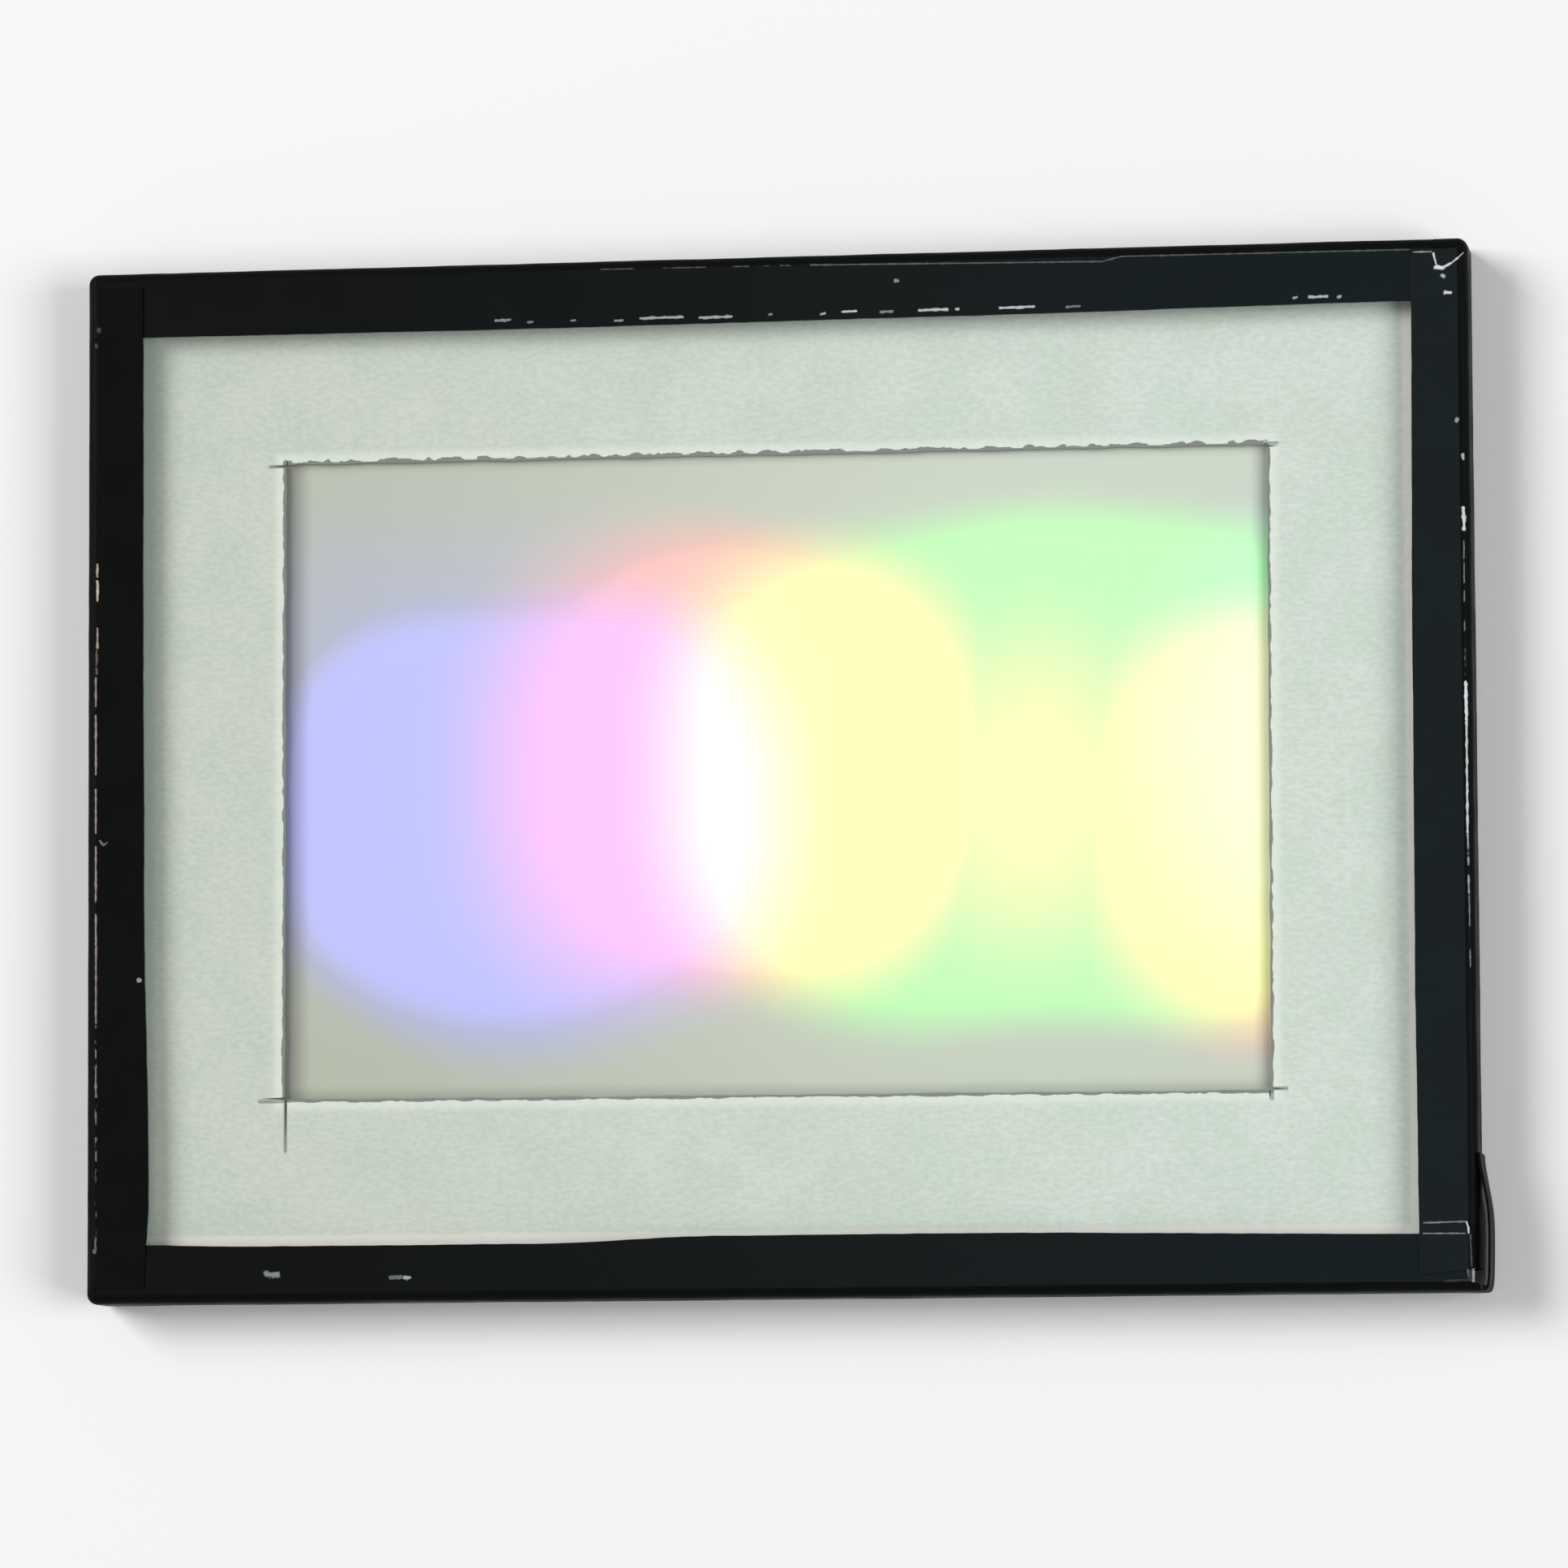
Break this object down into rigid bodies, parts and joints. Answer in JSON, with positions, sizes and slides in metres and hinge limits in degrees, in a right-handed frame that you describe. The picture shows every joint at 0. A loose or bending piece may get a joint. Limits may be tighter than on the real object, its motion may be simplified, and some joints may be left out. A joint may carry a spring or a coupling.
{
  "type": "diffraction grating",
  "caption": "Transmission diffraction grating: a replica film behind a windowed card mask, bound between glass plates by glossy black tape folded over the edges.",
  "frame": {"origin": "middle of the glass plates' outline, on the plane that the lapped tape at the corners rests on", "axes": "+X along the long side towards the right as the front is read, +Y along the short side towards the top edge, +Z out of the front face"},
  "size_m": [0.0643, 0.0476, 0.0033],
  "materials": {
    "glass": "polished sheet glass, edges ground",
    "film": "clear moulded plastic replica film with a pastel iridescence",
    "card": "pale grey card, faintly mottled, window cut by knife",
    "tape": "glossy black binding tape, worn along its folds"
  },
  "bodies": {
    "root": {"base_glass": "glass", "grating_film": "film", "mask_card": "card", "cover_glass": "glass", "top_tape": "tape", "bottom_tape": "tape", "left_tape": "tape", "right_tape": "tape"}
  },
  "joints": []
}
